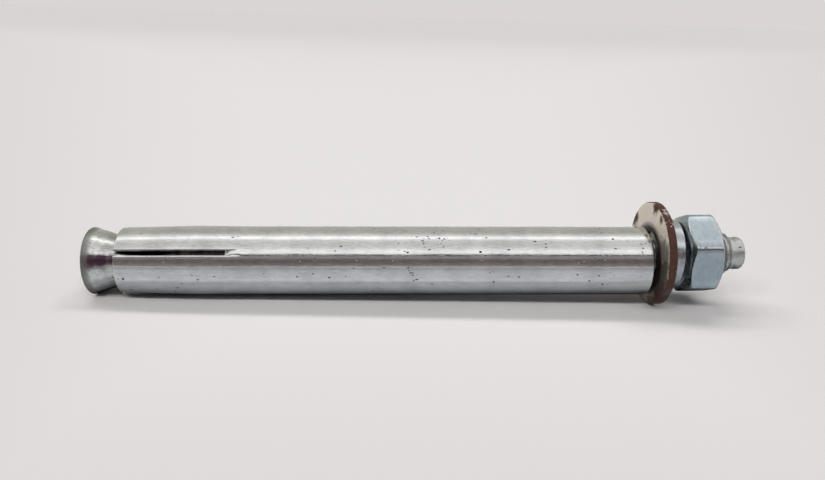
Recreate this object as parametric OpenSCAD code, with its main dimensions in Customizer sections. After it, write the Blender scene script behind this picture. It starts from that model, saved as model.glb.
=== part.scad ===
// Sleeve anchor bolt with a cone head, lying on a flat floor as it comes to rest.
// The bolt is drawn along its own axis, with its head's face at x = 0, and is then laid down:
// it leans on the rim of its head and on the rim of the flat washer.
// Units are millimetres. The origin is the middle of the outline's base, with +Z up and +X to the nut.

/* [Sleeve] */
// Room between the bolt's thread and the sleeve's bore, all round
sleeve_play = 1.6; // [0.8:0.05:2]
// Wall of the sleeve's tube. The thread, the room and the wall make its outside 15.7 mm, for a drilled hole of 16 mm
sleeve_wall = 1.25; // [1:0.05:1.8]
// Length of the sleeve
sleeve_length = 118.7; // [90:0.1:140]
// How far the tips of the four fingers are bent inwards
tip_bend = 0.3; // [0.1:0.05:0.5]
// Length over which the fingers are bent
finger_bend = 17; // [10:1:24]
// How far the fingers stand out past the tube where the bend begins
finger_bow = 0.1; // [0.05:0.05:0.3]
// Length over which they run back into the tube
bow_length = 9; // [5:1:12]
// Rounding of the fingers' outer edge
tip_round = 0.5; // [0.2:0.1:0.7]
// Chamfer of the bore's edge at the tips
bore_chamfer = 0.3; // [0.1:0.1:0.5]
// How far the sawn end at the washer is out of square
end_askew = 2; // [0:0.5:3]
// Number of saw cuts
slot_count = 4; // [2:1:6]
// Width of a saw cut
slot_width = 1.3; // [0.8:0.1:2]
// Length of a saw cut along the outside
slot_length = 26; // [20:1:40]
// Diameter of the saw disc, which leaves a sloping end
saw_d = 30; // [24:1:40]
// Depth that the disc goes in, past the wall
saw_depth = 3; // [2.5:0.5:6]
// Height of the first saw cut above level, on the front
slot_angle = 32; // [0:1:89]

/* [Bolt] */
// Outer diameter of the thread, which leads the other diameters
thread_d = 10; // [8:0.1:12]
// How far the cone head's rim stays inside the sleeve's outside
rim_step = 0.3; // [0.1:0.05:0.5]
// Width of the straight land at the rim, with its two roundings
rim_land = 0.9; // [0.8:0.1:1.4]
// Rounding of the rim's edges
rim_round = 0.4; // [0.1:0.05:0.4]
// Angle of the cone's side to the bolt's axis
cone_angle = 18; // [15:0.5:22]
// Fillet where the cone meets the shank
cone_fillet = 4; // [2:0.5:8]
// How much deeper the plain shank lies than the thread's crests
shank_step = 0.5; // [0.3:0.05:1]
// Pitch of the thread
thread_pitch = 1.5; // [1:0.25:1.75]
// Length of the thread
thread_length = 45; // [30:1:70]
// How much deeper the driving stub at the end lies than the thread's crests
stub_step = 1.25; // [1:0.05:2]
// Length of the stub
stub_length = 3.3; // [2.5:0.1:8]
// Rounding of the stub's end
stub_round = 0.7; // [0.3:0.1:2]
// Depth of the groove round the stub
groove_depth = 0.15; // [0.1:0.05:0.3]
// Width of the groove round the stub
groove_width = 0.7; // [0.4:0.1:1]
// Length of bolt that stands out past the nut
bolt_past_nut = 6.7; // [6:0.1:16]

/* [Washers and nut] */
// Outer diameter of the flat washer
washer_d = 23.6; // [22:0.1:30]
// Room between the thread and the flat washer's hole, all round
washer_play = 0.3; // [0.25:0.05:0.75]
// Thickness of the flat washer
washer_t = 1.8; // [1.5:0.1:2.5]
// Rounding of the flat washer's punched edge
washer_round = 0.4; // [0.2:0.05:0.6]
// How far the loose flat washer hangs askew, turned about the upright
washer_askew = 1.7; // [0:0.1:2]
// Room between the thread and the spring washer, all round
spring_play = 0.45; // [0.3:0.05:0.7]
// Radial width of the spring washer's wire
spring_width = 2.6; // [2:0.1:3]
// Thickness of the spring washer's wire
spring_t = 2.6; // [2:0.1:3]
// Rise from one end of the split to the other
spring_rise = 2.1; // [1:0.1:2.5]
// Gap of the split, along the middle of the wire
spring_split = 1.4; // [0.8:0.1:3]
// Lean of the cut across the wire, from the axis
spring_cut = 25; // [10:1:35]
// Flat of the wire's corners
spring_corner = 0.25; // [0.1:0.05:0.4]
// Size of the nut across its flats
nut_flats = 17; // [16:0.5:18]
// Height of the nut
nut_height = 8; // [7:0.1:10]
// How much is rounded off the nut's corners
nut_corner_cut = 0.25; // [0.1:0.05:0.4]
// How far the round of the nut's face stays inside its flats
nut_face_step = 1; // [0.5:0.05:1.2]
// Angle of the nut's chamfer to its face
nut_chamfer = 30; // [20:1:40]
// Countersink at the nut's faces
nut_sink = 0.4; // [0.2:0.05:0.6]
// Height of one of the nut's corners above level, on the front
nut_angle = 25; // [0:1:59]

/* [Fits] */
// Room that the sleeve has along the bolt before its fingers meet the cone
play_to_cone = 2.35; // [0.5:0.05:3]
// Room between the sleeve and the flat washer
play_to_washer = 1.3; // [0.8:0.1:3]
// Radial clearance of the nut on its thread
thread_clearance = 0.05; // [0.02:0.01:0.1]
// Gap left between pieces that lie on each other
seat_gap = 0.03; // [0.02:0.01:0.1]

/* [Hidden] */
$fn = 96;
// How far a cutter goes past what it cuts
reach = 1;

// Radii: all but the washer's follow the thread's
thread_r = thread_d / 2;
thread_root_r = thread_r - 0.6 * thread_pitch;
shank_r = thread_r - shank_step;
stub_r = thread_r - stub_step;
bore_r = thread_r + sleeve_play;
sleeve_r = bore_r + sleeve_wall;
bow_r = sleeve_r + finger_bow;
tip_r = sleeve_r - tip_bend;
tip_bore_r = tip_r - sleeve_wall;
rim_r = sleeve_r - rim_step;
washer_r = washer_d / 2;
washer_hole_r = thread_r + washer_play;
spring_hole_r = thread_r + spring_play;
nut_bore_r = thread_r + thread_clearance;

// The flat washer hangs the bolt in its hole, so its middle is higher than the bolt's axis
washer_lift = washer_hole_r - thread_r - seat_gap;
washer_reach = washer_r - washer_lift;

// The floor as the bolt sees it: its distance from the axis grows from the rim to the washer.
// end_x is the sleeve's end at the cone, so the washer's face is a sleeve and a gap further.
function floor_slope(end_x) = (washer_reach - rim_r) / (end_x + sleeve_length + play_to_washer - rim_land);
function floor_depth(x, end_x) = rim_r + (x - rim_land) * floor_slope(end_x);
// The sleeve hangs on the thread at the washer's end
hang = bore_r - thread_r - seat_gap;
bend_share = finger_bend / sleeve_length;
// How far its other end lies under the bolt's axis when the fingers rest on the floor with their tips or their bow
function tip_drop(end_x) = floor_depth(end_x, end_x) - tip_r - seat_gap;
function bow_drop(end_x) =
    (floor_depth(end_x + finger_bend, end_x) - bow_r - seat_gap - hang * bend_share) / (1 - bend_share);
function end_drop(end_x) = min(tip_drop(end_x), bow_drop(end_x));
// Where the fingers' inner edge meets the cone; each step comes closer
function cone_x(r) = rim_land - rim_round + (rim_r - r) / tan(cone_angle);
function seat_x(x, steps) = steps == 0 ? x : seat_x(cone_x(tip_bore_r - end_drop(x) - seat_gap), steps - 1);

// Places along the bolt's axis
seat_steps = 8;
sleeve_x = seat_x(0, seat_steps) + play_to_cone;
washer_x = sleeve_x + sleeve_length + play_to_washer;
spring_x = washer_x + washer_t + seat_gap;
nut_x = spring_x + spring_t + spring_rise + seat_gap;
bolt_length = nut_x + nut_height + bolt_past_nut;
thread_end_x = bolt_length - stub_length;

// How the bolt lies on the floor, and how the sleeve hangs on the thread
bolt_tilt = atan(floor_slope(sleeve_x));
sleeve_drop = end_drop(sleeve_x);
sleeve_tilt = asin((hang - sleeve_drop) / sleeve_length);
// The middle of the outline along X, from the head's leaning face to the stub's leaning end
face_left = -(rim_r - rim_round) * sin(bolt_tilt);
face_right = bolt_length * cos(bolt_tilt) + (stub_r - stub_round) * sin(bolt_tilt);
middle_x = (face_left + face_right) / 2;
axis_height = rim_r * cos(bolt_tilt) - rim_land * sin(bolt_tilt);

// Points of an arc round a centre, from one angle to another
function arc(centre, r, from, to, steps = 8) =
    [for (i = [0:steps]) centre + r * [cos(from + (to - from) * i / steps), sin(from + (to - from) * i / steps)]];

// Lays the bolt's frame on the floor
module laid_down() {
    translate([-middle_x, 0, axis_height]) rotate([0, -bolt_tilt, 0]) children();
}

// Turns a profile of [radius, distance] points round the X axis
module turned(points) {
    rotate([0, 90, 0]) rotate_extrude() polygon(points);
}

// Turns what points up so that it points to the front at an angle above level
module facing(angle) {
    rotate([90 - angle, 0, 0]) children();
}

// Points of the cone from its land down to the fillet at the shank.
// The fillet's centre lies off the shank by its radius, and it touches the cone square to its side.
fillet_r = shank_r + cone_fillet * (1 - cos(cone_angle));
fillet_x = cone_x(fillet_r);
fillet_centre = [shank_r + cone_fillet, fillet_x + cone_fillet * sin(cone_angle)];

module bolt_profile_turned() {
    run_out = 2 * thread_pitch;
    chamfer = thread_r - thread_root_r;
    groove_x = thread_end_x + stub_length / 3;
    turned(concat(
        [[0, 0]],
        arc([rim_r - rim_round, rim_round], rim_round, -90, 0),
        [[rim_r, rim_land - rim_round]],
        arc(fillet_centre, cone_fillet, 180 + cone_angle, 180),
        [
            [shank_r, thread_end_x - thread_length],
            [thread_r, thread_end_x - thread_length + run_out],
            [thread_r, thread_end_x - chamfer],
            [thread_root_r, thread_end_x],
            [stub_r, thread_end_x],
            [stub_r, groove_x],
            [stub_r - groove_depth, groove_x + groove_width / 4],
            [stub_r - groove_depth, groove_x + groove_width * 3 / 4],
            [stub_r, groove_x + groove_width],
        ],
        arc([stub_r - stub_round, bolt_length - stub_round], stub_round, 0, 90),
        [[0, bolt_length]]
    ));
}

// Stud with its cone head, its rolled thread and the round stub that the hammer strikes
module cone_bolt() {
    color("#b9bfc4") laid_down() bolt_profile_turned();
}

module sleeve_tube() {
    bow_end = finger_bend + bow_length;
    turned(concat(
        [[tip_bore_r + bore_chamfer, 0]],
        arc([tip_r - tip_round, tip_round], tip_round, -90, 0),
        [
            [bow_r, finger_bend],
            [sleeve_r, bow_end],
            [sleeve_r, sleeve_length + reach],
            [bore_r, sleeve_length + reach],
            [bore_r, bow_end],
            [bore_r + finger_bow, finger_bend],
            [tip_bore_r, bore_chamfer],
        ]
    ));
}

// What is cut off at the washer's end: the cut leans, so the sleeve is a little shorter on top
module end_cut() {
    side = 2 * (sleeve_r + reach);
    translate([sleeve_length, 0, 0]) rotate([0, -end_askew, 0]) translate([0, -side / 2, -side / 2])
        cube([2 * reach, side, side]);
}

// What the saw takes away: a slab from the tip, ended by the round of the disc
module saw_cut() {
    saw_r = saw_d / 2;
    cut_floor = sleeve_r - saw_depth;
    disc_x = slot_length - sqrt(pow(saw_r, 2) - pow(saw_r - saw_depth, 2));
    translate([-reach, -slot_width / 2, cut_floor]) cube([disc_x + reach, slot_width, saw_depth + reach]);
    translate([disc_x, slot_width / 2, cut_floor + saw_r]) rotate([90, 0, 0]) cylinder(h = slot_width, r = saw_r);
}

// Tube with four sawn fingers, bowed out a little and bent in at their tips; it hangs on the thread at its other end
module expansion_sleeve() {
    color("#c2c6c9") laid_down() translate([sleeve_x, 0, -sleeve_drop]) rotate([0, sleeve_tilt, 0]) difference() {
        sleeve_tube();
        end_cut();
        for (i = [0:slot_count - 1]) facing(slot_angle + i * 360 / slot_count) saw_cut();
    }
}

// Punched ring, rounded where the punch went in, on the side of the sleeve
module flat_washer() {
    color("#a39a90") laid_down() translate([washer_x, 0, washer_lift]) rotate([0, 0, washer_askew]) turned(concat(
        [[washer_hole_r, 0]],
        arc([washer_r - washer_round, washer_round], washer_round, -90, 0),
        [[washer_r, washer_t], [washer_hole_r, washer_t]]
    ));
}

// Section of the spring washer's wire, with flattened corners, as [radius, distance] points
spring_section = let (w = spring_width, t = spring_t, c = spring_corner)
    [[c, 0], [w - c, 0], [w, c], [w, t - c], [w - c, t], [c, t], [0, t - c], [0, c]];

// One point of the wire: it goes round the axis and sinks by the rise in one turn, against the thread's hand.
// The cut leans, so the ends shift with the distance across the wire, and the shift fades to the far side.
function spring_point(p, turn) =
    let (
        middle_r = spring_hole_r + spring_width / 2,
        half_split = asin(spring_split / 2 / middle_r),
        lean = atan((p[1] - spring_t / 2) * tan(spring_cut) / middle_r),
        a = half_split + turn * (360 - 2 * half_split) + lean * abs(2 * turn - 1),
        r = spring_hole_r + p[0]
    )
    [p[1] + spring_rise * (1 - turn), r * cos(a), r * sin(a)];

// Split ring of square wire; the split is at the back
module spring_washer() {
    steps = 72;
    n = len(spring_section);
    points = [for (i = [0:steps]) for (p = spring_section) spring_point(p, i / steps)];
    sides = [for (i = [0:steps - 1]) for (k = [0:n - 1])
        [i * n + k, i * n + (k + 1) % n, (i + 1) * n + (k + 1) % n, (i + 1) * n + k]];
    first_end = [[for (k = [n - 1:-1:0]) k]];
    last_end = [[for (k = [0:n - 1]) steps * n + k]];
    color("#b4babf") laid_down() translate([spring_x, 0, 0])
        polyhedron(points = points, faces = concat(sides, first_end, last_end), convexity = 6);
}

// Turned form that rounds the nut's corners and chamfers its faces
module nut_rounding() {
    corner_r = nut_flats / 2 / cos(30) - nut_corner_cut;
    face_r = nut_flats / 2 - nut_face_step;
    drop = (corner_r - face_r) * tan(nut_chamfer);
    turned([
        [0, 0],
        [face_r, 0],
        [corner_r, drop],
        [corner_r, nut_height - drop],
        [face_r, nut_height],
        [0, nut_height],
    ]);
}

module nut_bore() {
    sink_r = nut_bore_r + nut_sink;
    turned([
        [0, -reach],
        [sink_r, -reach],
        [sink_r, 0],
        [nut_bore_r, nut_sink],
        [nut_bore_r, nut_height - nut_sink],
        [sink_r, nut_height],
        [sink_r, nut_height + reach],
        [0, nut_height + reach],
    ]);
}

// Six-sided nut, chamfered on both faces
module hex_nut() {
    color("#aab4bd") laid_down() translate([nut_x, 0, 0]) facing(nut_angle) difference() {
        intersection() {
            rotate([0, 90, 0]) cylinder(h = nut_height, r = nut_flats / 2 / cos(30), $fn = 6);
            nut_rounding();
        }
        nut_bore();
    }
}

cone_bolt();
expansion_sleeve();
flat_washer();
spring_washer();
hex_nut();
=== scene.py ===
# %% [markdown]
# A sleeve anchor bolt: a stud with a cone at one end goes through a slotted steel sleeve.
# A flat washer, a spring washer and a nut sit on its thread at the other end.
# Tightening the nut pulls the cone into the sleeve, whose fingers spread and grip the wall of the hole.
# The construction gives the frame: five solids and their joints. Here each solid gets its real surface,
# with the helix of the thread, the lips of the saw cuts, rounded edges, zinc plate and rust.

# %% Load the frame
import math
import bpy
import numpy as np
from mathutils import Matrix, Vector


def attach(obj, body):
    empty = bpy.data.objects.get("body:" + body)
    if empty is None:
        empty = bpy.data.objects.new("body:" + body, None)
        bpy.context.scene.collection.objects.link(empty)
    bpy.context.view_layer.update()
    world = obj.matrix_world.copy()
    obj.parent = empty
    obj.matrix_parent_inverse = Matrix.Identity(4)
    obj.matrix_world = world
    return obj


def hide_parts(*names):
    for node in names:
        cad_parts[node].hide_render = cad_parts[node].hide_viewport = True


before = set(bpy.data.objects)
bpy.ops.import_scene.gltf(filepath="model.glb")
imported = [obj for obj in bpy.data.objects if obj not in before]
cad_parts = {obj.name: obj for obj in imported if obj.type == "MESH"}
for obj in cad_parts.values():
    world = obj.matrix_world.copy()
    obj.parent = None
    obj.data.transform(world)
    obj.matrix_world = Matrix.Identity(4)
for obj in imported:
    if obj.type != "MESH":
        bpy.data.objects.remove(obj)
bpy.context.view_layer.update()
MM = 0.001

# %% [markdown]
# Every piece is drawn along its own X axis in millimetres, with its left face at x = 0.
# Then it is set in its place on the bolt, and the bolt is laid down as the construction lays it:
# it leans on the rim of its cone and on the rim of the flat washer, so its far end rises a little.
# An angle round the axis starts at the back (+Y) and goes up over the top, so the front is at 180 degrees.

# %% Place a piece on the lying bolt
BOLT_TILT = 1.81041
BOLT_MIDDLE = 73.9366
AXIS_HEIGHT = 7.5178


def risen(points, degrees):
    """Points turned about the Y axis so that the +X end rises by an angle: x and z mix by its cosine and sine."""
    turn = math.radians(degrees)
    x, y, z = points[..., 0], points[..., 1], points[..., 2]
    return np.stack([x * math.cos(turn) - z * math.sin(turn), y, x * math.sin(turn) + z * math.cos(turn)], axis=-1)


def swung(points, degrees):
    """Points turned about the Z axis, so that the +X end swings to the back: x and y mix by its cosine and sine."""
    turn = math.radians(degrees)
    x, y, z = points[..., 0], points[..., 1], points[..., 2]
    return np.stack([x * math.cos(turn) - y * math.sin(turn), x * math.sin(turn) + y * math.cos(turn), z], axis=-1)


def laid_down(points, start, lift=0.0, own_tilt=0.0):
    """A piece's points, tilted and moved to their place along the bolt's axis, then laid on the floor, in metres."""
    on_bolt = risen(points, own_tilt) + np.array([start, 0.0, lift])
    return (risen(on_bolt, BOLT_TILT) + np.array([-BOLT_MIDDLE, 0.0, AXIS_HEIGHT])) * MM


# %% [markdown]
# A grid of points becomes a mesh by joining each point to its neighbours in the next row and column.
# Rings close on themselves, and a round end closes in one point, so that every piece is a closed skin.

# %% Build meshes from grids
def grid_faces(rows, columns, closed_rows=False):
    """Corners of the four-sided faces between neighbours on a grid whose columns go round and close."""
    row = np.arange(rows if closed_rows else rows - 1)[:, None]
    column = np.arange(columns)[None, :]
    next_row = (row + 1) % rows
    next_column = (column + 1) % columns
    corners = [row * columns + column, row * columns + next_column, next_row * columns + next_column, next_row * columns + column]
    return np.stack([np.broadcast_to(c, (row.size, columns)) for c in corners], axis=-1).reshape(-1, 4)


def new_piece(name, points, face_groups, sharp_angle=40.0, shares=None):
    """A mesh object from points and groups of faces; edges bent by more than an angle stay sharp.
    Shares are named values from 0 to 1 at the points, such as how polished the surface is there."""
    corners = np.concatenate([group.reshape(-1) for group in face_groups]).astype(np.int32)
    sizes = np.concatenate([np.full(len(group), group.shape[1]) for group in face_groups]).astype(np.int32)
    mesh = bpy.data.meshes.new(name)
    mesh.vertices.add(len(points))
    mesh.vertices.foreach_set("co", points.astype(np.float32).reshape(-1))
    mesh.loops.add(len(corners))
    mesh.loops.foreach_set("vertex_index", corners)
    mesh.polygons.add(len(sizes))
    mesh.polygons.foreach_set("loop_start", np.concatenate([[0], np.cumsum(sizes)[:-1]]).astype(np.int32))
    mesh.update(calc_edges=True)
    mesh.validate()
    mesh.shade_smooth()
    mesh.set_sharp_from_angle(angle=math.radians(sharp_angle))
    for share_name, values in (shares or {}).items():
        share = mesh.attributes.new(share_name, "FLOAT", "POINT")
        share.data.foreach_set("value", np.ascontiguousarray(values, dtype=np.float32).reshape(-1))
    piece = bpy.data.objects.new(name, mesh)
    bpy.context.collection.objects.link(piece)
    triangles = int((sizes - 2).sum())
    print(name, "points", len(points), "triangles", triangles)
    return piece


def turned_points(along, radius, angles):
    """Points of a turned surface: each row has its distance along X, and a radius that may change with the angle."""
    along, radius, angles = np.broadcast_arrays(along, radius, angles)
    return np.stack([along, radius * np.cos(angles), radius * np.sin(angles)], axis=-1)


def arc(centre, size, start, end, steps=6):
    """Points of an arc round a centre of (distance, radius), from one angle to another, both ends included."""
    angles = np.radians(np.linspace(start, end, steps + 1))
    return np.stack([centre[0] + size * np.cos(angles), centre[1] + size * np.sin(angles)], axis=-1)


def straight(start, end, steps):
    """Points on a line between two (distance, radius) points, without its ends."""
    share = np.linspace(0.0, 1.0, steps + 1)[1:-1, None]
    return np.array(start) * (1 - share) + np.array(end) * share


# %% [markdown]
# The thread is M10 with a pitch of 1.5 mm, and it is right-handed.
# A rolled thread has 60 degree flanks, a flat crest an eighth of the pitch wide and a root twice as wide.
# The radius follows from one number: how far a point is from the crest, counted in pitches.
# The nut's thread is the same form with a little room, so the two stay in mesh as the nut turns.

# %% Define the thread
PITCH = 1.5
THREAD_R = 5.0
ROOT_R = 4.1
THREAD_END = 144.777
THREAD_LENGTH = 45.0


def thread_height(along, angles):
    """1 on the crest and 0 in the root: the distance to the crest's helix in pitches, sloping at the flanks."""
    phase = along / PITCH - angles / (2 * math.pi)
    off_crest = np.abs(phase - np.round(phase))
    height = np.clip((0.375 - off_crest) / (0.375 - 0.0625), 0.0, 1.0)
    return height * (1.0 + 0.25 * (1.0 - height) * height)


# %% [markdown]
# The stud is one forged and rolled piece. Its cone head has a small straight land with rounded edges,
# its side runs to the shank in a fillet, and the shank is as thin as the thread's middle height,
# because the thread is rolled, not cut. The plain stub at the end keeps the hammer off the thread.
# A turned surface with a radius that follows the helix gives all of it in one closed skin.

# %% Make the stud
RIM_R = 7.55
RIM_LAND = 0.9
RIM_ROUND = 0.4
CONE_ANGLE = 18.0
CONE_FILLET = 4.0
SHANK_R = 4.5
STUB_R = 3.75
STUB_ROUND = 0.7
BOLT_LENGTH = 148.077


def stud_points(columns=112, rows_per_pitch=14):
    """Rows of the stud from the middle of its head to the middle of its stub, as (distance, radius) at each angle."""
    angles = np.arange(columns) * 2 * math.pi / columns
    slope = math.radians(CONE_ANGLE)
    fillet_r = SHANK_R + CONE_FILLET * (1 - math.cos(slope))
    fillet_x = RIM_LAND - RIM_ROUND + (RIM_R - fillet_r) / math.tan(slope)
    fillet_centre = (fillet_x + CONE_FILLET * math.sin(slope), SHANK_R + CONE_FILLET)
    thread_start = THREAD_END - THREAD_LENGTH
    head = np.concatenate([
        [[0.0, 0.5]],
        straight((0.0, 0.5), (0.0, RIM_R - RIM_ROUND), 7),
        arc((RIM_ROUND, RIM_R - RIM_ROUND), RIM_ROUND, 180, 90),
        straight((RIM_ROUND, RIM_R), (RIM_LAND - RIM_ROUND, RIM_R), 2),
        [[RIM_LAND - RIM_ROUND, RIM_R]],
        straight((RIM_LAND - RIM_ROUND, RIM_R), (fillet_x, fillet_r), 12),
        arc(fillet_centre, CONE_FILLET, 270 - CONE_ANGLE, 270, 8),
        straight((fillet_centre[0], SHANK_R), (thread_start, SHANK_R), 40),
    ])
    thread_x = np.linspace(thread_start, THREAD_END, int(THREAD_LENGTH / PITCH * rows_per_pitch) + 1)[:, None]
    rise = np.clip((thread_x - thread_start) / (2 * PITCH), 0.0, 1.0)
    height = thread_height(thread_x, angles[None, :])
    thread_r = SHANK_R + rise * (ROOT_R + (THREAD_R - ROOT_R) * height - SHANK_R)
    thread_r = np.minimum(thread_r, ROOT_R + THREAD_END - thread_x)
    groove = THREAD_END + 1.1
    stub = np.concatenate([
        [[THREAD_END + 0.02, STUB_R + 0.1], [THREAD_END + 0.12, STUB_R]],
        straight((THREAD_END + 0.12, STUB_R), (groove, STUB_R), 4),
        [[groove, STUB_R], [groove + 0.18, STUB_R - 0.15], [groove + 0.52, STUB_R - 0.15], [groove + 0.7, STUB_R]],
        arc((BOLT_LENGTH - STUB_ROUND, STUB_R - STUB_ROUND), STUB_ROUND, 90, 0, 8),
        straight((BOLT_LENGTH, STUB_R - STUB_ROUND), (BOLT_LENGTH, 0.3), 4),
        [[BOLT_LENGTH, 0.3]],
    ])
    along = np.concatenate([np.repeat(head[:, :1], columns, 1), np.repeat(thread_x, columns, 1), np.repeat(stub[:, :1], columns, 1)])
    radius = np.concatenate([np.repeat(head[:, 1:], columns, 1), thread_r, np.repeat(stub[:, 1:], columns, 1)])
    return turned_points(along, radius, angles[None, :])


def capped_skin(points, first_middle, last_middle):
    """A grid of rings with a fan of triangles to a middle point at each end, and the faces of both."""
    rows, columns = points.shape[:2]
    flat = np.concatenate([points.reshape(-1, 3), [first_middle], [last_middle]])
    column = np.arange(columns)
    following = (column + 1) % columns
    first = np.stack([np.full(columns, rows * columns), following, column], axis=-1)
    last_row = (rows - 1) * columns
    last = np.stack([np.full(columns, rows * columns + 1), last_row + column, last_row + following], axis=-1)
    return flat, [grid_faces(rows, columns), first, last]


stud_grid = stud_points()
stud_skin, stud_faces = capped_skin(stud_grid, (0.0, 0.0, 0.0), (BOLT_LENGTH, 0.0, 0.0))
stud_polish = np.clip((20.0 - stud_skin[:, 0]) / 5.0, 0.0, 1.0)
stud_dull = np.clip((1.35 - stud_skin[:, 0]) / 0.15, 0.0, 1.0) + 0.1 * (stud_skin[:, 0] > 100.0)
stud = new_piece("stud", laid_down(stud_skin, 0.0), stud_faces, shares={"polish": stud_polish, "dull": stud_dull})
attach(stud, "bolt")
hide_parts("cone_bolt")

# %% [markdown]
# The sleeve is a tube with four saw cuts at the cone's end. Its four fingers stand out a little
# and are bent in at their tips. A saw disc leaves the end of each cut sloping through the wall.
# The other end was sawn off a little out of square, and has no rounding.
# The tube is two grids, outside and inside, with the same rows and columns. The columns beside a cut lie
# half a cut's width from its middle, so they stay parallel. Faces over the cuts are left out,
# and walls join the outside to the inside along the cuts, at the tips and at the far end.

# %% Make the sleeve
SLEEVE_START = 6.81669
SLEEVE_DROP = 0.0811206
SLEEVE_TILT = 0.718692
SLEEVE_R = 7.85
BORE_R = 6.6
SLEEVE_LENGTH = 118.7
END_ASKEW = 2.0
TIP_BEND = 0.3
TIP_ROUND = 0.5
BEND_LENGTH = 17.0
FINGER_BOW = 0.1
SLOT_LENGTH = 26.0
SLOT_FLOOR_LENGTH = 24.03
SLOT_WIDTH = 1.3
SLOT_COUNT = 4
EDGE_BREAK = 0.05
FIRST_SLOT = 148.0


def finger_bend(along):
    """How far a finger stands out of the tube: inwards at the tip, out by the bow, and level at the cut's end."""
    return np.interp(along, [0.0, BEND_LENGTH, SLOT_LENGTH], [-TIP_BEND, FINGER_BOW, 0.0])


def sleeve_rows():
    """Rows of the sleeve's outside and inside as (distance, radius), in step with each other, and the cut's last row."""
    tip_r = SLEEVE_R - TIP_BEND
    finger_x = np.linspace(TIP_ROUND, SLOT_LENGTH, 29)[1:]
    outside = np.concatenate([
        arc((TIP_ROUND, tip_r - TIP_ROUND), TIP_ROUND, 180, 90),
        np.stack([finger_x, SLEEVE_R + finger_bend(finger_x)], axis=-1),
    ])
    last_cut_row = len(outside) - 1
    body = np.concatenate([
        straight((SLOT_LENGTH, SLEEVE_R), (SLEEVE_LENGTH - 0.4, SLEEVE_R), 90),
        [[SLEEVE_LENGTH - 0.4, SLEEVE_R], [SLEEVE_LENGTH - 0.15, SLEEVE_R]],
        arc((SLEEVE_LENGTH - EDGE_BREAK, SLEEVE_R - EDGE_BREAK), EDGE_BREAK, 90, 0, 3),
    ])
    inside_x = outside[:, 0] * SLOT_FLOOR_LENGTH / SLOT_LENGTH
    chamfer = np.clip(0.3 - inside_x, 0.0, 0.3)
    inside = np.stack([inside_x, BORE_R + finger_bend(inside_x) + chamfer], axis=-1)
    body_x = np.linspace(SLOT_FLOOR_LENGTH, SLEEVE_LENGTH, len(body) + 1)[1:]
    body_r = BORE_R + np.clip(body_x - SLEEVE_LENGTH + EDGE_BREAK, 0.0, EDGE_BREAK)
    return np.concatenate([outside, body]), np.concatenate([inside, np.stack([body_x, body_r], axis=-1)]), last_cut_row


def out_of_square(points):
    """Points near the far end, moved along X so that the end leans: the move grows with the height and the distance."""
    share = np.clip((points[:, 0] - SLEEVE_LENGTH + 20.0) / 20.0, 0.0, 1.0)
    moved = points.copy()
    moved[:, 0] -= math.tan(math.radians(END_ASKEW)) * share * points[:, 2]
    return moved


def sleeve_columns(radius, between=44):
    """Angles round the sleeve at a radius: even between the cuts, close together at their lips, and 4 across each cut.
    A lip's angle is the arc sine of half the cut's width over the radius, so the cut is as wide inside as outside."""
    angles = []
    lips = np.array([0.0, 0.07, 0.16, 0.3, 0.6])
    for cut in range(SLOT_COUNT):
        middle = math.radians(FIRST_SLOT + cut * 360.0 / SLOT_COUNT)
        half = np.arcsin(SLOT_WIDTH / 2 / radius)
        span = 2 * math.pi / SLOT_COUNT - 2 * half
        near = [half + lip / radius for lip in lips]
        far = [half + span - lip / radius for lip in lips[::-1]]
        even = [near[-1] + (far[0] - near[-1]) * k / between for k in range(1, between)]
        across = [half + span + 2 * half * k / 4 for k in range(1, 4)]
        angles += [middle + a for a in near + even + far + across]
    return np.stack(angles, axis=-1)


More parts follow.
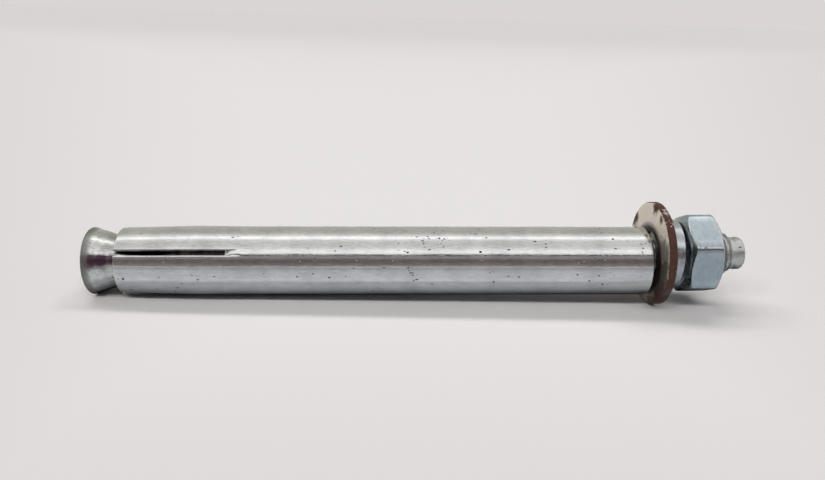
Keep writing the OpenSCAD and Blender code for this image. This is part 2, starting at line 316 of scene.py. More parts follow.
def sleeve_skin():
    """Points and faces of the sleeve: outside and inside grids, and the walls that join them."""
    outer, inner, last_cut = sleeve_rows()
    outer_angles = sleeve_columns(outer[:, 1])
    inner_angles = sleeve_columns(inner[:, 1])
    rows, columns = outer_angles.shape
    per_cut = columns // SLOT_COUNT
    place = np.arange(columns) % per_cut
    over_cut = place >= per_cut - 4
    lip_distance = np.minimum(place, per_cut - 4 - place)
    lip_drop = np.array([0.09, 0.03, 0.0, 0.0, 0.0])
    drop = np.where(lip_distance < 5, lip_drop[np.clip(lip_distance, 0, 4)], 0.0)
    drop = np.where(place > per_cut - 4, 0.0, drop)
    in_cut = (np.arange(rows) <= last_cut)[:, None]
    outer_r = outer[:, 1:] - np.where(in_cut, drop[None, :], 0.0)
    outside = turned_points(outer[:, :1], outer_r, outer_angles)
    inside = turned_points(inner[:, :1], inner[:, 1:], inner_angles)
    count = rows * columns
    faces = grid_faces(rows, columns)
    face_row = faces[:, 0] // columns
    face_column = faces[:, 0] % columns
    solid = (face_row >= last_cut) | ~over_cut[face_column]
    skin = faces[solid]
    column = np.arange(columns)
    following = (column + 1) % columns
    tips = column[~over_cut]
    tip_wall = np.stack([tips, tips + count, following[tips] + count, following[tips]], axis=-1)
    end = (rows - 1) * columns
    end_wall = np.stack([end + column, end + following, end + following + count, end + column + count], axis=-1)
    ramp = column[over_cut] + last_cut * columns
    ramp_next = following[over_cut] + last_cut * columns
    ramp_wall = np.stack([ramp, ramp + count, ramp_next + count, ramp_next], axis=-1)
    row = np.arange(last_cut)[:, None] * columns
    left = (row + column[place == per_cut - 4][None, :]).reshape(-1)
    right = (row + column[place == 0][None, :]).reshape(-1)
    left_wall = np.stack([left, left + columns, left + columns + count, left + count], axis=-1)
    right_wall = np.stack([right, right + count, right + columns + count, right + columns], axis=-1)
    points = np.concatenate([outside.reshape(-1, 3), inside.reshape(-1, 3)])
    used = np.zeros(len(points), bool)
    groups = [skin, skin[:, ::-1] + count, tip_wall, end_wall, ramp_wall, left_wall, right_wall]
    for group in groups:
        used[group.reshape(-1)] = True
    renumber = np.cumsum(used) - 1
    return points[used], [renumber[group] for group in groups]


sleeve_points, sleeve_faces = sleeve_skin()
sleeve_points = laid_down(out_of_square(sleeve_points), SLEEVE_START, -SLEEVE_DROP, -SLEEVE_TILT)
sleeve = new_piece("sleeve", sleeve_points, sleeve_faces)
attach(sleeve, "sleeve")
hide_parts("expansion_sleeve")

# %% [markdown]
# The flat washer is punched from sheet: its edge is rounded where the punch went in and sharp where it came out.

# %% Make the flat washer
WASHER_START = 126.817
WASHER_LIFT = 0.27
WASHER_ASKEW = 1.7
WASHER_R = 11.8
WASHER_HOLE_R = 5.3
WASHER_T = 1.8


def washer_points(columns=160):
    """A closed ring: each row of its outline as (distance, radius), turned round the axis."""
    outline = np.concatenate([
        arc((0.15, WASHER_HOLE_R + 0.15), 0.15, 270, 180, 3),
        straight((0.0, WASHER_HOLE_R + 0.15), (0.0, WASHER_R - 0.4), 8),
        arc((0.4, WASHER_R - 0.4), 0.4, 180, 90, 6),
        straight((0.4, WASHER_R), (WASHER_T - 0.08, WASHER_R), 3),
        arc((WASHER_T - 0.08, WASHER_R - 0.08), 0.08, 90, 0, 2),
        straight((WASHER_T, WASHER_R - 0.08), (WASHER_T, WASHER_HOLE_R + 0.08), 8),
        arc((WASHER_T - 0.08, WASHER_HOLE_R + 0.08), 0.08, 0, -90, 2),
        straight((WASHER_T - 0.08, WASHER_HOLE_R), (0.15, WASHER_HOLE_R), 3),
    ])
    angles = np.arange(columns) * 2 * math.pi / columns
    return turned_points(outline[:, :1], outline[:, 1:], angles[None, :])


washer_grid = washer_points()
washer_out = np.hypot(washer_grid[..., 1], washer_grid[..., 2])
washer_high = washer_grid[..., 2] / WASHER_R
kept_plate = 0.1 * np.clip((washer_high - 0.55) / 0.2, 0.0, 1.0) + 0.3 * np.exp(-(((washer_high + 0.5) / 0.12) ** 2))
# Painted shade: a ring round the bore where the sleeve shades the face, wider below the bolt than above it.
painted_shade_near_sleeve = np.clip((8.6 - washer_out - 1.2 * np.clip(washer_grid[..., 2] / 6.0, -1.0, 1.0)) / 0.9, 0.0, 1.0)
on_rim = np.clip((washer_out - WASHER_R + 0.5) / 0.4, 0.0, 1.0) * (0.82 - kept_plate)
washer = new_piece(
    "flat_washer_steel",
    laid_down(swung(washer_grid.reshape(-1, 3), WASHER_ASKEW), WASHER_START, WASHER_LIFT),
    [grid_faces(*washer_grid.shape[:2], closed_rows=True)],
    shares={"rim": on_rim, "painted_sleeve_shade": painted_shade_near_sleeve},
)
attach(washer, "flat_washer")
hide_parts("flat_washer")

# %% [markdown]
# The spring washer is a length of square wire, coiled for one turn and cut through at an angle.
# Its wire has rounded corners. Its section is carried round the axis and sinks by the rise in one turn,
# against the thread's hand, so that its sharp ends bite when the nut turns back.

# %% Make the spring washer
SPRING_START = 128.647
SPRING_HOLE_R = 5.45
SPRING_WIDTH = 2.6
SPRING_T = 2.6
SPRING_RISE = 2.1
SPRING_SPLIT = 1.4
SPRING_CUT = 25.0


def spring_skin(steps=120, corner=0.3):
    """Points and faces of the coiled wire. Turn goes from 0 to 1, the section sinks by the rise,
    and the cut's lean shifts the ends along the circle by the place across the wire."""
    section = np.concatenate([
        arc((SPRING_T - corner, SPRING_WIDTH - corner), corner, 0, 90, 4),
        arc((corner, SPRING_WIDTH - corner), corner, 90, 180, 4),
        arc((corner, corner), corner, 180, 270, 4),
        arc((SPRING_T - corner, corner), corner, 270, 360, 4),
    ])[::-1]
    middle_r = SPRING_HOLE_R + SPRING_WIDTH / 2
    half = math.asin(SPRING_SPLIT / 2 / middle_r)
    turn = np.linspace(0.0, 1.0, steps + 1)[:, None]
    lean = np.arctan((section[None, :, 0] - SPRING_T / 2) * math.tan(math.radians(SPRING_CUT)) / middle_r)
    angles = half + turn * (2 * math.pi - 2 * half) + lean * np.abs(2 * turn - 1)
    points = turned_points(section[None, :, 0] + SPRING_RISE * (1 - turn), SPRING_HOLE_R + section[None, :, 1] + 0 * turn, angles)
    size = len(section)
    sides = grid_faces(steps + 1, size)
    first = np.arange(size)[::-1][None, :]
    last = steps * size + np.arange(size)[None, :]
    return points.reshape(-1, 3), [sides, first, last]


spring_points, spring_faces = spring_skin()
spring = new_piece("spring_washer_steel", laid_down(spring_points, SPRING_START), spring_faces)
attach(spring, "spring_washer")
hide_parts("spring_washer")

# %% [markdown]
# The nut is cold-formed: six flats, both faces chamfered at 30 degrees, and all its edges soft.
# At each angle the outside is the smaller of two radii, the flat's and the chamfer cone's.
# Taking the smaller one softly rounds the edge between them, as the die does.

# %% Make the nut
NUT_START = 133.377
NUT_FLATS = 17.0
NUT_HEIGHT = 8.0
NUT_FACE_STEP = 1.0
NUT_CHAMFER = 30.0
NUT_CORNER = 155.0
NUT_SINK_R = 5.45


def soft_min(first, second, softness):
    """The smaller of two values, eased where they are within the softness of each other."""
    blend = np.clip(softness - np.abs(first - second), 0.0, None) / softness
    return np.minimum(first, second) - blend * blend * softness / 4


def nut_points(columns=216, rows_per_pitch=12):
    """A closed ring of rows: out along the left face, over the flats, in along the right face, back through the thread."""
    angles = np.arange(columns) * 2 * math.pi / columns
    flats = [math.radians(NUT_CORNER + 30 + 60 * k) for k in range(6)]
    share = sum(np.clip(np.cos(angles - flat), 0.0, None) ** 27 for flat in flats) ** (1 / 27)
    hexagon = (NUT_FLATS / 2 / share)[None, :]
    face_r = NUT_FLATS / 2 - NUT_FACE_STEP
    ends = np.array([0.0, 0.03, 0.08, 0.15, 0.24, 0.34, 0.45, 0.57, 0.7, 0.84, 1.0, 1.2, 1.5, 2.0, 2.7])
    side_x = np.concatenate([ends, [4.0], NUT_HEIGHT - ends[::-1]])[:, None]
    inset = np.minimum(side_x, NUT_HEIGHT - side_x)
    cone = face_r + inset / math.tan(math.radians(NUT_CHAMFER))
    edge = 0.12 * np.clip(1 - inset / 0.15, 0.0, 1.0) ** 2
    side_r = soft_min(hexagon, cone - edge, 0.5)
    near_edge = np.clip(1.6 - np.abs(hexagon - cone) / 0.4, 0.0, 1.0)
    near_corner = np.clip((hexagon - NUT_FLATS / 2 - 0.4) / 0.3, 0.0, 1.0)
    face_x = np.zeros((6, 1))
    left_r = np.linspace(NUT_SINK_R, face_r - 0.3, 6)[:, None]
    bore_x = np.linspace(NUT_HEIGHT, 0.0, int(NUT_HEIGHT / PITCH * rows_per_pitch) + 1)[:, None]
    height = thread_height(bore_x + NUT_START, angles[None, :])
    bore_r = ROOT_R + 0.08 + (THREAD_R - ROOT_R) * height
    sink = NUT_SINK_R - np.minimum(bore_x, NUT_HEIGHT - bore_x)
    bore_r = np.maximum(bore_r, sink)
    spread = np.ones((1, columns))
    along = np.concatenate([face_x * spread, side_x * spread, (face_x + NUT_HEIGHT) * spread, bore_x[1:-1] * spread])
    radius = np.concatenate([left_r * spread, side_r, left_r[::-1] * spread, bore_r[1:-1]])
    polish = np.zeros(radius.shape)
    polish[6:6 + len(side_x)] = np.maximum(near_edge, near_corner)
    return turned_points(along, radius, angles[None, :]), polish


nut_grid, nut_polish = nut_points()
nut = new_piece(
    "nut_steel",
    laid_down(nut_grid.reshape(-1, 3), NUT_START),
    [grid_faces(*nut_grid.shape[:2], closed_rows=True)],
    sharp_angle=50.0,
    shares={"polish": nut_polish},
)
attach(nut, "nut")
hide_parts("hex_nut")

# %% [markdown]
# A colour is written as it looks on a screen, in hex, and one function turns it into linear light.
# One more function adds a node: its settings, the values of its sockets, and the links into them.

# %% Set up materials
def linear(hex_colour):
    """Linear red, green, blue and alpha of an sRGB hex colour: each part over 0.04045 goes through the 2.4 power."""
    parts = [int(hex_colour[i:i + 2], 16) / 255 for i in (1, 3, 5)]
    return [p / 12.92 if p <= 0.04045 else ((p + 0.055) / 1.055) ** 2.4 for p in parts] + [1.0]


def add_node(tree, kind, settings=None, sockets=None, links=None):
    """Adds one node. Settings are its properties, sockets its fixed values, links the outputs that feed its sockets."""
    new = tree.nodes.new(kind)
    for name, value in (settings or {}).items():
        setattr(new, name, value)
    for name, value in (sockets or {}).items():
        new.inputs[name].default_value = value
    for name, source in (links or {}).items():
        tree.links.new(source, new.inputs[name])
    return new


def new_material(name):
    """A material with an empty node tree, its output and the object's own coordinates."""
    material = bpy.data.materials.new(name)
    material.use_nodes = True
    tree = material.node_tree
    tree.nodes.clear()
    output = add_node(tree, "ShaderNodeOutputMaterial")
    place = add_node(tree, "ShaderNodeTexCoord")
    return material, tree, output, place.outputs["Object"]


# %% [markdown]
# Bright zinc plate on steel: a thin electroplated layer, pale grey with a faint warm or blue cast.
# It gives the eye the room in bands, a little wavy because the steel under it is, and broken by fine marks:
# draw marks run along the tube and the cone. Handling polishes edges and leaves flats dull.
# Here and there a pit has let the steel rust: small dark dots, thickest where the plate was knocked.

# %% Plate the steel with zinc
def patch_mask(tree, place, ragged, patches):
    """1 inside any patch and 0 outside. A patch is a ball: its middle in mm, its radius in mm and its strength.
    A noise added to the distance makes its outline ragged, and the strongest patch wins."""
    mask = None
    for middle, radius, strength in patches:
        away = add_node(
            tree, "ShaderNodeVectorMath", {"operation": "DISTANCE"},
            {1: [m * MM for m in middle]},
            {0: place},
        )
        wobbly = add_node(
            tree, "ShaderNodeMath", {"operation": "MULTIPLY_ADD"},
            {1: radius * MM * 1.6, 2: -radius * MM * 0.8},
            {0: ragged},
        )
        reach = add_node(tree, "ShaderNodeMath", {"operation": "ADD"}, links={0: away.outputs["Value"], 1: wobbly.outputs["Value"]})
        inside = add_node(
            tree, "ShaderNodeMapRange",
            sockets={"From Min": radius * MM, "From Max": radius * MM * 0.55, "To Max": strength},
            links={"Value": reach.outputs["Value"]},
        )
        if mask is None:
            mask = inside.outputs["Result"]
        else:
            both = add_node(tree, "ShaderNodeMath", {"operation": "MAXIMUM"}, links={0: mask, 1: inside.outputs["Result"]})
            mask = both.outputs["Value"]
    return mask


def zinc_plate(name, bright, dull, roughness, polished, marks, mark_depth, wave_depth, pit_share, worn_spots, painted_tone="#c9c9c7", painted_tone_patches=()):
    """Zinc plate over steel. Marks are the noise's scales along X, Y and Z; depths are in metres;
    pits fill a share of their cells, and more of them in the worn spots; painted tone patches take another colour,
    which paints a reflection band or shade into the plate."""
    material, tree, output, place = new_material(name)
    cloud = add_node(tree, "ShaderNodeTexNoise", sockets={"Scale": 140.0, "Detail": 5.0, "Roughness": 0.65}, links={"Vector": place})
    stretched = add_node(tree, "ShaderNodeMapping", sockets={"Scale": marks}, links={"Vector": place})
    lines = add_node(
        tree, "ShaderNodeTexNoise",
        sockets={"Scale": 1.0, "Detail": 4.0, "Roughness": 0.7},
        links={"Vector": stretched.outputs["Vector"]},
    )
    cloud_and_lines = add_node(tree, "ShaderNodeMath", {"operation": "ADD"}, links={0: cloud.outputs["Fac"], 1: lines.outputs["Fac"]})
    cloud_share = add_node(
        tree, "ShaderNodeMapRange",
        sockets={"From Min": 0.8, "From Max": 1.2},
        links={"Value": cloud_and_lines.outputs["Value"]},
    )
    shade = add_node(
        tree, "ShaderNodeMix", {"data_type": "RGBA"},
        {"A": linear(dull), "B": linear(bright)},
        {"Factor": cloud_share.outputs["Result"]},
    ).outputs["Result"]
    # Painted tone: patches whose colour paints a reflection band or shade into the plate.
    if painted_tone_patches:
        painted_tone_mask = patch_mask(tree, place, cloud.outputs["Fac"], painted_tone_patches)
        shade = add_node(tree, "ShaderNodeMix", {"data_type": "RGBA"}, {"B": linear(painted_tone)}, {"A": shade, "Factor": painted_tone_mask}).outputs["Result"]

    wavy = add_node(tree, "ShaderNodeMapping", sockets={"Scale": (60.0, 420.0, 420.0)}, links={"Vector": place})
    waves = add_node(
        tree, "ShaderNodeTexNoise",
        sockets={"Scale": 1.0, "Detail": 2.0, "Roughness": 0.5},
        links={"Vector": wavy.outputs["Vector"]},
    )
    wave_bump = add_node(tree, "ShaderNodeBump", sockets={"Distance": wave_depth}, links={"Height": waves.outputs["Fac"]})
    grain = add_node(tree, "ShaderNodeTexNoise", sockets={"Scale": 2400.0, "Detail": 2.0}, links={"Vector": place})
    grain_bump = add_node(
        tree, "ShaderNodeBump",
        sockets={"Distance": 0.000003},
        links={"Height": grain.outputs["Fac"], "Normal": wave_bump.outputs["Normal"]},
    )
    line_bump = add_node(
        tree, "ShaderNodeBump",
        sockets={"Distance": mark_depth},
        links={"Height": lines.outputs["Fac"], "Normal": grain_bump.outputs["Normal"]},
    )
    rough = add_node(
        tree, "ShaderNodeMapRange",
        sockets={"From Min": 0.3, "From Max": 0.7, "To Min": roughness * 0.7, "To Max": roughness * 1.4},
        links={"Value": lines.outputs["Fac"]},
    )
    polish = add_node(tree, "ShaderNodeAttribute", {"attribute_name": "polish"})
    surface = add_node(
        tree, "ShaderNodeMix", {"data_type": "FLOAT"},
        {"B": polished},
        {"A": rough.outputs["Result"], "Factor": polish.outputs["Fac"]},
    )

    spots = patch_mask(tree, place, cloud.outputs["Fac"], worn_spots)
    pits = None
    for cell_scale, cell_stretch, cell_share, spot_share in ((1250.0, 0.75, pit_share * 0.25, 1.0), (2100.0, 0.4, pit_share, 0.8)):
        cell_place = add_node(tree, "ShaderNodeMapping", sockets={"Scale": (cell_stretch, 1.0, 1.0)}, links={"Vector": place})
        cells = add_node(tree, "ShaderNodeTexVoronoi", sockets={"Scale": cell_scale}, links={"Vector": cell_place.outputs["Vector"]})
        lots = add_node(tree, "ShaderNodeSeparateColor", links={"Color": cells.outputs["Color"]})
        share = add_node(
            tree, "ShaderNodeMath", {"operation": "MULTIPLY_ADD"},
            {1: spot_share, 2: cell_share},
            {0: spots},
        )
        chosen = add_node(tree, "ShaderNodeMath", {"operation": "LESS_THAN"}, links={0: lots.outputs["Red"], 1: share.outputs["Value"]})
        size = add_node(tree, "ShaderNodeMapRange", sockets={"To Min": 0.12, "To Max": 0.4}, links={"Value": lots.outputs["Green"]})
        depth = add_node(tree, "ShaderNodeMath", {"operation": "SUBTRACT"}, links={0: size.outputs["Result"], 1: cells.outputs["Distance"]})
        bowl = add_node(tree, "ShaderNodeMapRange", sockets={"From Max": 0.12}, links={"Value": depth.outputs["Value"]})
        layer = add_node(tree, "ShaderNodeMath", {"operation": "MULTIPLY"}, links={0: bowl.outputs["Result"], 1: chosen.outputs["Value"]})
        if pits is None:
            pits = layer
        else:
            pits = add_node(tree, "ShaderNodeMath", {"operation": "MAXIMUM"}, links={0: pits.outputs["Value"], 1: layer.outputs["Value"]})
    pit = pits
    dull_share = add_node(tree, "ShaderNodeAttribute", {"attribute_name": "dull"})
    shade = add_node(
        tree, "ShaderNodeMix", {"data_type": "RGBA"},
        {"B": linear("#83817c")},
        {"A": shade, "Factor": dull_share.outputs["Fac"]},
    ).outputs["Result"]
    colour = add_node(
        tree, "ShaderNodeMix", {"data_type": "RGBA"},
        {"B": linear("#352924")},
        {"A": shade, "Factor": pit.outputs["Value"]},
    )
    metal = add_node(tree, "ShaderNodeMapRange", sockets={"To Min": 1.0, "To Max": 0.2}, links={"Value": pit.outputs["Value"]})
    dulled = add_node(
        tree, "ShaderNodeMix", {"data_type": "FLOAT"},
        {"B": 0.45},
        {"A": surface.outputs["Result"], "Factor": dull_share.outputs["Fac"]},
    )
    pitted_rough = add_node(
        tree, "ShaderNodeMix", {"data_type": "FLOAT"},
        {"B": 0.6},
        {"A": dulled.outputs["Result"], "Factor": pit.outputs["Value"]},
    )
    pit_bump = add_node(
        tree, "ShaderNodeBump", {"invert": True}, {"Distance": 0.00004},
        {"Height": pit.outputs["Value"], "Normal": line_bump.outputs["Normal"]},
    )
    shader = add_node(
        tree, "ShaderNodeBsdfPrincipled",
        links={
            "Base Color": colour.outputs["Result"],
            "Metallic": metal.outputs["Result"],
            "Roughness": pitted_rough.outputs["Result"],
            "Normal": pit_bump.outputs["Normal"],
        },
    )
    tree.links.new(shader.outputs["BSDF"], output.inputs["Surface"])
    return material


# %% Plate each piece as it looks
sleeve.data.materials.append(zinc_plate(
    "zinc_plated_drawn_tube", "#dbdad9", "#bebebe", roughness=0.08, polished=0.08,
    marks=(450.0, 5500.0, 5500.0), mark_depth=0.00001, wave_depth=0.000025, pit_share=0.035,
    worn_spots=[
        ((4.2, -3.3, 15.4), 2.7, 0.7), ((1.2, -4.8, 14.5), 2.1, 0.8), ((-4.2, -5.7, 13.7), 2.0, 0.55),
        ((-2.2, -7.8, 9.2), 2.0, 0.9), ((-1.6, -7.8, 7.6), 1.2, 0.7),
        ((-62.0, -7.4, 6.5), 5.0, 0.12), ((-25.0, -7.6, 11.0), 4.0, 0.12), ((18.0, -5.5, 15.0), 12.0, 0.07),
        ((40.0, -6.5, 14.0), 12.0, 0.06), ((-30.0, -7.6, 7.5), 5.0, 0.12),
    ],
))
# On the stud, the purple patches on the front of the cone paint the dark purple reflection band, and the patches along
# the shank paint the shade inside the sleeve, seen through the cuts.
stud.data.materials.append(zinc_plate(
    "zinc_plated_forged_stud", "#dcddda", "#a6a8a2", roughness=0.4, polished=0.08,
    marks=(300.0, 2200.0, 2200.0), mark_depth=0.000012, wave_depth=0.00003, pit_share=0.05,
    worn_spots=[((-71.2, -2.6, 15.2), 1.7, 1.0), ((-70.0, -5.0, 14.2), 0.8, 0.6)],
    painted_tone="#63305a", painted_tone_patches=[((-72.0, -7.6, 9.9), 2.4, 0.8), ((-69.6, -7.0, 9.9), 2.3, 0.85), ((-67.4, -6.3, 9.9), 2.0, 0.8)] + [((along, 0.0, 8.0), 6.5, 1.0) for along in (-60.0, -52.0, -44.0)],
))
spring.data.materials.append(zinc_plate(
    "zinc_plated_spring_wire", "#c5c8ca", "#a8abaf", roughness=0.22, polished=0.15,
    marks=(700.0, 700.0, 700.0), mark_depth=0.000006, wave_depth=0.00005, pit_share=0.03,
    worn_spots=[((60.0, -6.0, 16.0), 1.0, 0.3)],
))
nut.data.materials.append(zinc_plate(
    "zinc_plated_formed_nut", "#b6bfc5", "#9ba6ad", roughness=0.32, polished=0.08,
    marks=(900.0, 500.0, 500.0), mark_depth=0.000008, wave_depth=0.00005, pit_share=0.03,
    worn_spots=[((60.6, -6.5, 18.8), 0.7, 1.0), ((65.0, -8.0, 4.0), 0.7, 1.0)],
))

# %% [markdown]
# The flat washer's plate is dull and has begun to rust where it is thinnest: on the punched edge
# and in from it. It gives the eye a warm beige, dull face with brown patches of ragged outline and a brown rim
# with flecks of plate left. Painted shade darkens the face round the sleeve's mouth, most in front of it and below it.

# %% Rust the flat washer, and paint the shade by the sleeve
material, tree, output, place = new_material("rusting_zinc_washer")
grain = add_node(tree, "ShaderNodeTexNoise", sockets={"Scale": 700.0, "Detail": 5.0, "Roughness": 0.7}, links={"Vector": place})
blotch = add_node(tree, "ShaderNodeTexNoise", sockets={"Scale": 260.0, "Detail": 3.0, "Roughness": 0.6}, links={"Vector": place})
face_colour = add_node(
    tree, "ShaderNodeMix", {"data_type": "RGBA"},
    {"A": linear("#d3c8b9"), "B": linear("#eee3d4")},
    {"Factor": blotch.outputs["Fac"]},
)
rust_patches = [
    ((53.5, -1.5, 23.0), 2.1, 1.0),
    ((53.5, -5.0, 21.2), 1.5, 1.0),
    ((53.0, 10.0, 17.6), 2.6, 1.0),
    ((53.5, -8.2, 4.0), 2.3, 1.0),
    ((53.5, -9.6, 7.2), 1.5, 1.0),
    ((53.5, -4.5, 1.2), 3.0, 0.9),
]
# Painted shade on the face in front of and below the sleeve's mouth, joined to the painted ring round the bore.
painted_shade_patches = [((53.3, -8.0, 8.0), 7.5, 0.9), ((53.3, -8.6, 4.0), 5.0, 0.95), ((53.3, -8.0, 14.5), 4.0, 0.75)]
painted_shade = patch_mask(tree, place, blotch.outputs["Fac"], painted_shade_patches)
painted_sleeve_shade = add_node(tree, "ShaderNodeAttribute", {"attribute_name": "painted_sleeve_shade"})
painted_shade = add_node(tree, "ShaderNodeMath", {"operation": "MAXIMUM"}, links={0: painted_shade, 1: painted_sleeve_shade.outputs["Fac"]}).outputs["Value"]
face_colour = add_node(
    tree, "ShaderNodeMix", {"data_type": "RGBA"},
    {"B": linear("#2c211e")},
    {"A": face_colour.outputs["Result"], "Factor": painted_shade},
)
patches = patch_mask(tree, place, grain.outputs["Fac"], rust_patches)
edge_share = add_node(tree, "ShaderNodeAttribute", {"attribute_name": "rim"})
edge_noise = add_node(tree, "ShaderNodeMath", {"operation": "ADD"}, links={0: edge_share.outputs["Fac"], 1: grain.outputs["Fac"]})
edge_rust = add_node(
    tree, "ShaderNodeMapRange",
    sockets={"From Min": 1.12, "From Max": 1.2},
    links={"Value": edge_noise.outputs["Value"]},
)
rust_share = add_node(tree, "ShaderNodeMath", {"operation": "MAXIMUM"}, links={0: patches, 1: edge_rust.outputs["Result"]})
rust_colour = add_node(
    tree, "ShaderNodeMix", {"data_type": "RGBA"},
    {"A": linear("#140b09"), "B": linear("#5f3a2d")},
    {"Factor": grain.outputs["Fac"]},
)
washer_colour = add_node(
    tree, "ShaderNodeMix", {"data_type": "RGBA"},
    links={"A": face_colour.outputs["Result"], "B": rust_colour.outputs["Result"], "Factor": rust_share.outputs["Value"]},
)
washer_metal = add_node(tree, "ShaderNodeMapRange", sockets={"To Min": 0.35, "To Max": 0.1}, links={"Value": rust_share.outputs["Value"]})
washer_rough = add_node(tree, "ShaderNodeMapRange", sockets={"To Min": 0.42, "To Max": 0.75}, links={"Value": rust_share.outputs["Value"]})
rust_height = add_node(tree, "ShaderNodeMath", {"operation": "MULTIPLY_ADD"}, links={0: grain.outputs["Fac"], 1: rust_share.outputs["Value"], 2: rust_share.outputs["Value"]})
rust_bump = add_node(tree, "ShaderNodeBump", sockets={"Distance": 0.00009}, links={"Height": rust_height.outputs["Value"]})
washer_shader = add_node(
    tree, "ShaderNodeBsdfPrincipled",
    links={
        "Base Color": washer_colour.outputs["Result"],
        "Metallic": washer_metal.outputs["Result"],
        "Roughness": washer_rough.outputs["Result"],
        "Normal": rust_bump.outputs["Normal"],
    },
)
tree.links.new(washer_shader.outputs["BSDF"], output.inputs["Surface"])
washer.data.materials.append(material)

# %% [markdown]
# The stage is a plain pale floor under a plain pale sky. Two long soft lights cross it: a window in front,
# about 50 degrees up, and a strip over the bolt's back. Each is a row of suns spread along the bolt,
# so shadows are crisp across the bolt and soft along it, as under a real strip.

# %% Set the stage
scene = bpy.context.scene
scene.view_settings.view_transform = "Standard"

world = bpy.data.worlds.new("pale_room")
scene.world = world
world.use_nodes = True
sky = world.node_tree
sky.nodes.clear()
rays = add_node(sky, "ShaderNodeLightPath")
seen = add_node(sky, "ShaderNodeMath", {"operation": "MAXIMUM"}, links={0: rays.outputs["Is Camera Ray"], 1: rays.outputs["Is Glossy Ray"]})
seen_through = add_node(sky, "ShaderNodeMath", {"operation": "MAXIMUM"}, links={0: seen.outputs["Value"], 1: rays.outputs["Is Transmission Ray"]})
sky_colour = add_node(
    sky, "ShaderNodeMix", {"data_type": "RGBA"},
    {"A": (0.19, 0.19, 0.19, 1.0), "B": linear("#dad5d4")},
    {"Factor": seen_through.outputs["Value"]},
)
sky_light = add_node(sky, "ShaderNodeBackground", links={"Color": sky_colour.outputs["Result"]})
sky_output = add_node(sky, "ShaderNodeOutputWorld", links={"Surface": sky_light.outputs["Background"]})

# %% [markdown]
# The floor is a pale table top with a painted falloff of light: it is a little darker far from the bolt, to the sides
# and towards the viewer.
# Seen in the metal it also has a painted shadow, darkest right under the bolt, and a painted shade that darkens it
# again towards the viewer.
# That is why the tube's dark band fades out softly below it. Only reflections see these two.

# %% Lay the floor
material, tree, output, place = new_material("pale_table_top")
rays = add_node(tree, "ShaderNodeLightPath")
where = add_node(tree, "ShaderNodeSeparateXYZ", links={"Vector": place})
# Painted shadow for reflections only: a ramp over the distance in front of the bolt, darkest at the contact, then a
# painted shade towards the viewer.
nearer = add_node(
    tree, "ShaderNodeMapRange",
    sockets={"From Min": 0.0, "From Max": -0.2},
    links={"Value": where.outputs["Y"]},
)
# Painted falloff of light: the table's colour darkens far behind the bolt, far to its sides and towards the viewer.
far_back = add_node(
    tree, "ShaderNodeMapRange",
    {"interpolation_type": "SMOOTHSTEP"},
    {"From Min": 0.1, "From Max": 2.5},
    {"Value": where.outputs["Y"]},
)
aside = add_node(tree, "ShaderNodeMath", {"operation": "ABSOLUTE"}, links={0: where.outputs["X"]})
widening = add_node(tree, "ShaderNodeMath", {"operation": "MULTIPLY_ADD"}, {1: 5.0, 2: 1.0}, {0: where.outputs["Y"]})
at_least = add_node(tree, "ShaderNodeMath", {"operation": "MAXIMUM"}, {1: 0.3}, {0: widening.outputs["Value"]})
spread = add_node(tree, "ShaderNodeMath", {"operation": "DIVIDE"}, links={0: aside.outputs["Value"], 1: at_least.outputs["Value"]})
far_aside = add_node(
    tree, "ShaderNodeMapRange",
    {"interpolation_type": "SMOOTHSTEP"},
    {"From Min": 0.02, "From Max": 0.16},
    {"Value": spread.outputs["Value"]},
)
towards_viewer = add_node(
    tree, "ShaderNodeMapRange",
    {"interpolation_type": "SMOOTHSTEP"},
    {"From Min": 0.0, "From Max": -0.09, "To Max": 0.6},
    {"Value": where.outputs["Y"]},
)
painted_light_falloff = add_node(tree, "ShaderNodeMath", {"operation": "MAXIMUM"}, links={0: far_back.outputs["Result"], 1: far_aside.outputs["Result"]})
painted_light_falloff = add_node(tree, "ShaderNodeMath", {"operation": "MAXIMUM"}, links={0: painted_light_falloff.outputs["Value"], 1: towards_viewer.outputs["Result"]})
painted_reflection_shade = add_node(tree, "ShaderNodeValToRGB", links={"Fac": nearer.outputs["Result"]})
for position, grey in (
    (0.0, 0.12), (0.0205, 0.3), (0.031, 0.7), (0.0445, 1.0), (0.0525, 1.0),
    (0.085, 0.84), (0.21, 0.75), (0.44, 0.5), (1.0, 0.42),
):
    stop = painted_reflection_shade.color_ramp.elements[0] if position == 0.0 else painted_reflection_shade.color_ramp.elements.new(position)
    stop.color = (grey, grey * 1.07, grey * 1.13, 1.0)
painted_reflection_shade.color_ramp.elements.remove(painted_reflection_shade.color_ramp.elements[-1])
# Behind the bolt the painted shadow fades out between 3 and 9.5 mm.
behind = add_node(
    tree, "ShaderNodeMapRange",
    sockets={"From Min": 0.003, "From Max": 0.0095},
    links={"Value": where.outputs["Y"]},
)
painted_shade_front_and_back = add_node(
    tree, "ShaderNodeMix", {"data_type": "RGBA"},
    {"B": (1.0, 1.0, 1.0, 1.0)},
    {"A": painted_reflection_shade.outputs["Color"], "Factor": behind.outputs["Result"]},
)
painted_shade_for_reflections = add_node(
    tree, "ShaderNodeMix", {"data_type": "RGBA"},
    {"A": (1.0, 1.0, 1.0, 1.0)},
    {"B": painted_shade_front_and_back.outputs["Result"], "Factor": rays.outputs["Is Glossy Ray"]},
)
table_colour_with_painted_falloff = add_node(
    tree, "ShaderNodeMix", {"data_type": "RGBA"},
    {"A": linear("#e6e3e2"), "B": linear("#d8d4d3")},
    {"Factor": painted_light_falloff.outputs["Value"]},
)
floor_colour = add_node(
    tree, "ShaderNodeMix", {"data_type": "RGBA", "blend_type": "MULTIPLY"},
    {"Factor": 1.0},
    {"A": table_colour_with_painted_falloff.outputs["Result"], "B": painted_shade_for_reflections.outputs["Result"]},
)
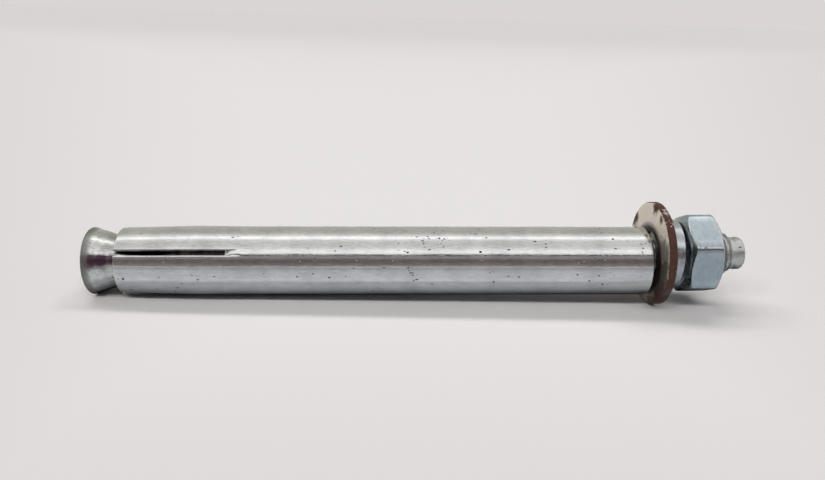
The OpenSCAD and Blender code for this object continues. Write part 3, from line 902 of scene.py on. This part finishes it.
floor_shader = add_node(
    tree, "ShaderNodeBsdfPrincipled",
    sockets={"Roughness": 0.9, "Specular IOR Level": 0.0},
    links={"Base Color": floor_colour.outputs["Result"]},
)
tree.links.new(floor_shader.outputs["BSDF"], output.inputs["Surface"])
bpy.ops.mesh.primitive_plane_add(size=60.0)
floor = bpy.context.object
floor.name = "floor"
floor.data.materials.append(material)

# %% [markdown]
# Curved metal shows the room as bands: each height on the tube mirrors one angle of the room.
# The room is a half tube round the bolt that only reflections see, and its glow changes with the angle:
# 0 is level in front, 90 overhead, 180 level behind. Read from the front up, it has the dark side where
# the viewer stands, the window with its dark frame under it, a pale wall, the strip light and a grey ceiling.

# %% Build the room that only reflections see
ROOM_R = 0.9
ROOM_HALF_LENGTH = 1.5
room_glow = [
    # the far side of the table, and the viewer's dark clothes over it
    (-0.6, "#9b9796", 1.0), (5.0, "#8b8585", 1.0), (13.0, "#7a6f70", 1.0), (22.0, "#776b6c", 1.0),
    # the wall under the window
    (25.0, "#938d8d", 1.0), (31.0, "#a4a2a0", 1.0), (34.5, "#a6a6a4", 1.0),
    # the dark frame, then the window
    (35.2, "#383838", 1.0), (39.3, "#383838", 1.0), (39.9, "#ffffff", 1.28), (52.0, "#ffffff", 1.28),
    # the pale wall over it
    (57.0, "#ffffff", 1.05), (64.0, "#f2f2f1", 1.0), (70.0, "#e8e8e6", 1.0), (79.0, "#e8e8e6", 1.0),
    # the strip light and its glow on the ceiling
    (91.0, "#f8f8f6", 1.0), (98.0, "#ffffff", 1.6), (103.0, "#ffffff", 1.6), (106.5, "#ffffff", 1.12),
    (117.0, "#e4e4df", 1.0), (123.0, "#d1d0ca", 1.0),
    # the rest of the ceiling and the back wall
    (132.0, "#c6c5be", 1.0), (180.6, "#c6c5be", 1.0),
]
known_angles = [angle for angle, colour, strength in room_glow]
known_light = np.array([[part * strength for part in linear(colour)[:3]] for angle, colour, strength in room_glow])
room_angles = np.unique(np.concatenate([known_angles, np.linspace(-0.6, 180.6, 91)]))
room_light = np.stack([np.interp(room_angles, known_angles, known_light[:, part]) for part in range(3)], axis=-1)
turn = np.radians(room_angles)[:, None]
ring_x = np.array([[-1.0, -1.0, 1.0, 1.0]]) * ROOM_HALF_LENGTH
ring_r = np.array([[0.02, 1.0, 1.0, 0.02]]) * ROOM_R
room_points = np.stack([ring_x + 0 * turn, -ring_r * np.cos(turn), 0.01 + ring_r * np.sin(turn)], axis=-1)
room_points = np.concatenate([room_points[:, :2], room_points[:, 1:3], room_points[:, 2:]], axis=1)
share = np.array([0.75, 0.85, 1.0, 1.0, 0.85, 0.75])[None, :, None]
light = np.concatenate([room_light[:, None, :] * share, np.ones((len(room_angles), 6, 1))], axis=-1)
row = np.arange(len(room_angles) - 1)[:, None] * 6
column = np.array([0, 2, 4])[None, :]
corner = (row + column).reshape(-1)
room_faces = np.stack([corner, corner + 1, corner + 7, corner + 6], axis=-1)
room = new_piece("room_for_reflections", room_points.reshape(-1, 3), [room_faces])
glow = room.data.attributes.new("glow", "FLOAT_COLOR", "POINT")
glow.data.foreach_set("color", light.astype(np.float32).reshape(-1))
material, tree, output, place = new_material("room_glow")
glow_colour = add_node(tree, "ShaderNodeAttribute", {"attribute_name": "glow"})
room_shader = add_node(tree, "ShaderNodeEmission", links={"Color": glow_colour.outputs["Color"]})
tree.links.new(room_shader.outputs["Emission"], output.inputs["Surface"])
room.data.materials.append(material)
room.visible_camera = False
room.visible_diffuse = False
room.visible_shadow = False

# %% Light the stage
for light_name, height, strength, width in (("window", 51.0, 1.74, 9.0), ("strip", 113.0, 1.5, 12.0)):
    for side in (-38.0, -23.0, -8.0, 6.0, 20.0):
        sun = bpy.data.lights.new(light_name, "SUN")
        sun.energy = strength / 5
        sun.angle = math.radians(width)
        towards = Vector((
            math.sin(math.radians(side)),
            -math.cos(math.radians(height)) * math.cos(math.radians(side)),
            math.sin(math.radians(height)) * math.cos(math.radians(side)),
        ))
        lamp = bpy.data.objects.new(light_name, sun)
        lamp.rotation_euler = towards.to_track_quat("Z", "Y").to_euler()
        lamp.visible_glossy = False
        bpy.context.collection.objects.link(lamp)

# %% [markdown]
# The camera stands close in front and looks down by about 18 degrees, so the near end looms a little.
# Its place and lens were fitted to the round outlines of the sleeve, the cone and the washers.

# %% Place the camera
CAMERA_FOCAL = 692.51
IMAGE_WIDTH = 825
yaw, pitch, roll = (math.radians(a) for a in (2.384, 17.881, -1.829))
forward = np.array([math.sin(yaw) * math.cos(pitch), math.cos(yaw) * math.cos(pitch), -math.sin(pitch)])
level_right = np.array([math.cos(yaw), -math.sin(yaw), 0.0])
level_down = np.cross(forward, level_right)
right = math.cos(roll) * level_right + math.sin(roll) * level_down
down = -math.sin(roll) * level_right + math.cos(roll) * level_down
lens = bpy.data.cameras.new("camera")
lens.sensor_width = 36.0
lens.lens = CAMERA_FOCAL * lens.sensor_width / IMAGE_WIDTH
lens.clip_start = 0.005
camera = bpy.data.objects.new("camera", lens)
view = np.eye(4)
view[:3, 0] = right
view[:3, 1] = -down
view[:3, 2] = -forward
view[:3, 3] = np.array([-8.1845, -150.029, 62.283]) * MM
camera.matrix_world = Matrix(view.tolist())
bpy.context.collection.objects.link(camera)
scene.camera = camera
